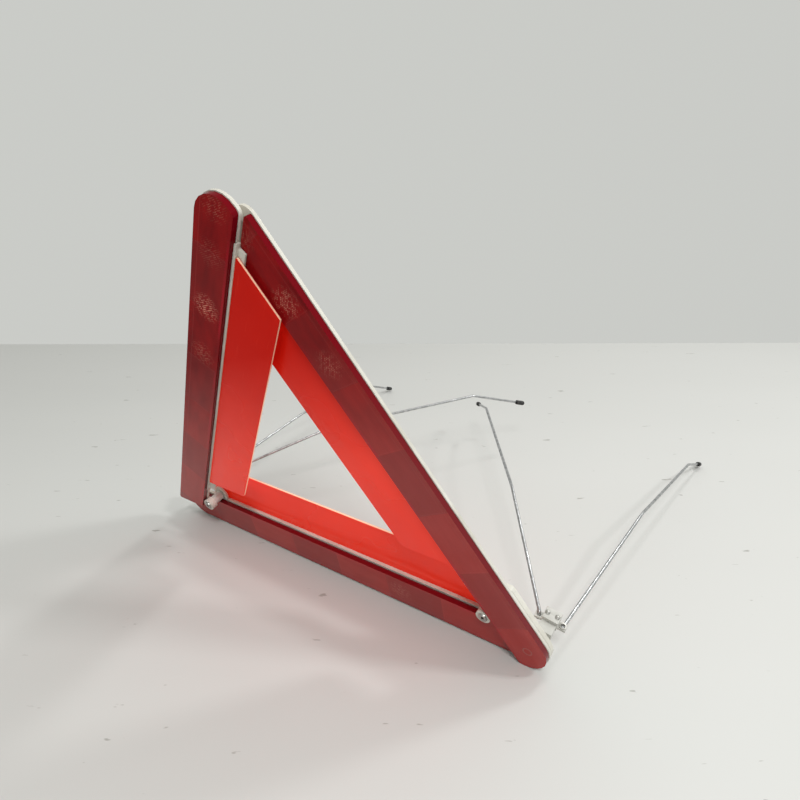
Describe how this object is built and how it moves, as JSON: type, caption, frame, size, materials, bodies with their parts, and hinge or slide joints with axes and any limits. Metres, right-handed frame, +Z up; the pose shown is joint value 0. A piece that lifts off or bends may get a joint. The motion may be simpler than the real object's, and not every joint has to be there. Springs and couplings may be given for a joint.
{
  "type": "folding warning triangle",
  "caption": "Folding warning triangle with red reflex arms, orange fluorescent panels and bent wire legs, leaning slightly forward.",
  "frame": {"origin": "ground level under the middle of the standing triangle's overall footprint", "axes": "+X along the base towards its right end as seen from the front, +Y from the front face towards the legs, +Z up"},
  "size_m": [0.5438, 0.6, 0.3984],
  "materials": {
    "reflex_lens": "clear red acrylic with a fine prism pattern",
    "fluorescent_panel": "smooth fluorescent orange-red sheet with pale glowing edges",
    "carrier_plastic": "moulded cream white",
    "block_plastic": "moulded pale grey",
    "leg_wire": "galvanised wire",
    "fixing_steel": "plated, slightly dull",
    "cap_rubber": "black, matt"
  },
  "bodies": {
    "base": {"base_reflector": "reflex_lens", "base_carrier": "carrier_plastic", "base_panel": "fluorescent_panel", "base_clamp_strip": "fixing_steel", "clamp_rivet_1": "fixing_steel", "clamp_rivet_2": "fixing_steel", "clamp_rivet_3": "fixing_steel", "clamp_rivet_4": "fixing_steel", "left_pivot_rivet": "fixing_steel", "right_pivot_rivet": "fixing_steel", "left_pivot_bush": "block_plastic", "left_pivot_washer": "fixing_steel", "right_pivot_washer": "fixing_steel", "left_leg_bracket": "block_plastic", "left_bracket_rivet_1": "fixing_steel", "left_bracket_rivet_2": "fixing_steel", "left_leg_block": "block_plastic", "left_block_lid": "block_plastic", "left_lid_screw_1": "fixing_steel", "left_lid_screw_2": "fixing_steel", "left_block_bolt": "fixing_steel", "right_leg_bracket": "block_plastic", "right_bracket_rivet_1": "fixing_steel", "right_bracket_rivet_2": "fixing_steel", "right_leg_block": "block_plastic", "right_block_lid": "block_plastic", "right_lid_screw_1": "fixing_steel", "right_lid_screw_2": "fixing_steel", "right_block_bolt": "fixing_steel"},
    "left_arm": {"left_reflector": "reflex_lens", "left_carrier": "carrier_plastic", "left_panel": "fluorescent_panel"},
    "right_arm": {"right_reflector": "reflex_lens", "right_carrier": "carrier_plastic", "right_panel": "fluorescent_panel", "latch_spring": "fixing_steel", "latch_rivet": "fixing_steel"},
    "left_inner_leg": {"left_inner_wire": "leg_wire", "left_inner_foot_cap": "cap_rubber", "left_inner_push_nut": "fixing_steel"},
    "left_outer_leg": {"left_outer_wire": "leg_wire", "left_outer_foot_cap": "cap_rubber", "left_outer_push_nut": "fixing_steel"},
    "right_inner_leg": {"right_inner_wire": "leg_wire", "right_inner_foot_cap": "cap_rubber", "right_inner_push_nut": "fixing_steel"},
    "right_outer_leg": {"right_outer_wire": "leg_wire", "right_outer_foot_cap": "cap_rubber", "right_outer_push_nut": "fixing_steel"}
  },
  "joints": [
    {"name": "left_arm_fold", "type": "hinge", "parent": "base", "child": "left_arm", "pos_m": [-0.17553, -0.19584, 0.04153], "axis": [0, 0.9659, 0.2588], "range_deg": [0, 60]},
    {"name": "right_arm_fold", "type": "hinge", "parent": "base", "child": "right_arm", "pos_m": [0.17552, -0.19584, 0.04153], "axis": [0, 0.9659, 0.2588], "range_deg": [-60, 0]},
    {"name": "left_inner_leg_swing", "type": "hinge", "parent": "base", "child": "left_inner_leg", "pos_m": [-0.21518, -0.16272, 0.04348], "axis": [-0.2079, -0.2532, 0.9448], "range_deg": [-32, 30]},
    {"name": "left_outer_leg_swing", "type": "hinge", "parent": "base", "child": "left_outer_leg", "pos_m": [-0.23524, -0.15976, 0.03245], "axis": [-0.2079, -0.2532, 0.9448], "range_deg": [-78, 60]},
    {"name": "right_inner_leg_swing", "type": "hinge", "parent": "base", "child": "right_inner_leg", "pos_m": [0.21516, -0.16272, 0.04348], "axis": [0.2079, -0.2532, 0.9448], "range_deg": [-30, 39]},
    {"name": "right_outer_leg_swing", "type": "hinge", "parent": "base", "child": "right_outer_leg", "pos_m": [0.23522, -0.15976, 0.03245], "axis": [0.2079, -0.2532, 0.9448], "range_deg": [-60, 78]}
  ]
}
